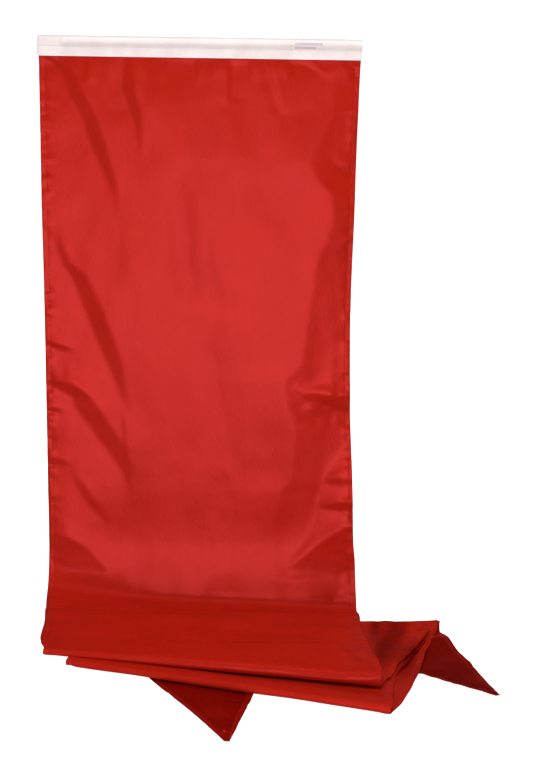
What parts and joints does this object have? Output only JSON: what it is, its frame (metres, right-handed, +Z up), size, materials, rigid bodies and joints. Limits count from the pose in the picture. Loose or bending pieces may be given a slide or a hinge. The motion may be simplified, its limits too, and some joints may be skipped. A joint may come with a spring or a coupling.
{
  "type": "swallow-tailed wind streamer",
  "caption": "Long red nylon wind streamer with a white canvas heading, hung by the heading with its surplus length and pointed tails folded on the floor.",
  "frame": {"origin": "centre of the heading's flat back face", "axes": "+Z up, -Y towards the front, +X to the right seen from the front; the heading lies along X"},
  "size_m": [0.85, 0.634, 1.1201],
  "materials": {
    "red_nylon": "satin woven nylon",
    "white_canvas": "matt cotton duck",
    "white_thread": "spun polyester thread",
    "red_thread": "spun polyester thread",
    "wood_rod": "sanded beech dowel"
  },
  "bodies": {
    "streamer": {"streamer_cloth": "red_nylon", "heading_canvas": "white_canvas", "channel_end_ply": "white_canvas", "channel_seam_thread": "white_thread", "heading_seam_thread": "white_thread", "heading_end_thread_left": "white_thread", "heading_end_thread_right": "white_thread", "hem_thread_left": "red_thread", "hem_thread_right": "red_thread", "notch_thread_left": "red_thread", "notch_thread_right": "red_thread", "tip_tack_left": "red_thread", "tip_tack_right": "red_thread", "notch_tack": "red_thread"},
    "rod": {"heading_rod": "wood_rod"}
  },
  "joints": [
    {"name": "rod_slide", "type": "slide", "parent": "streamer", "child": "rod", "axis": [1, 0, 0], "range_m": [0, 0.49]}
  ]
}
